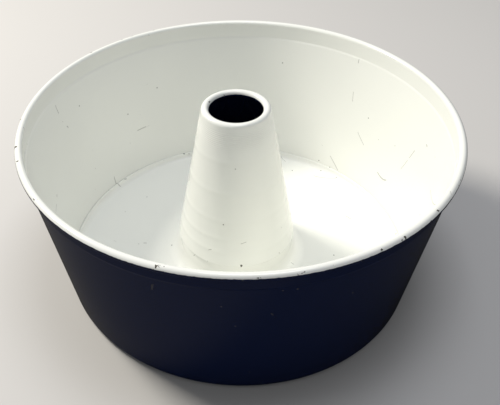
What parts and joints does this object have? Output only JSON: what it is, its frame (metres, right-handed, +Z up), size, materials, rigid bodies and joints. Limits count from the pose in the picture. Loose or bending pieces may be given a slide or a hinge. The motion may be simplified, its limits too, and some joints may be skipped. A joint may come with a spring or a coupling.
{
  "type": "angel food cake pan",
  "caption": "Round tapered cake pan with a rolled rim and a lift-out floor that carries a tall tapered centre tube.",
  "frame": {"origin": "centre of the foot ring, on the plane that the pan stands on", "axes": "+Z up along the pan's axis of symmetry"},
  "size_m": [0.254, 0.254, 0.1113],
  "materials": {
    "navy_enamel": "gloss",
    "white_enamel": "gloss",
    "rim_steel": "satin"
  },
  "bodies": {
    "shell": {"side_wall": "navy_enamel", "rim_wire": "rim_steel"},
    "insert": {"floor_plate": "white_enamel", "centre_tube": "white_enamel"}
  },
  "joints": [
    {"name": "insert_lift", "type": "slide", "parent": "shell", "child": "insert", "axis": [0, 0, 1], "range_m": [0, 0.12]}
  ]
}
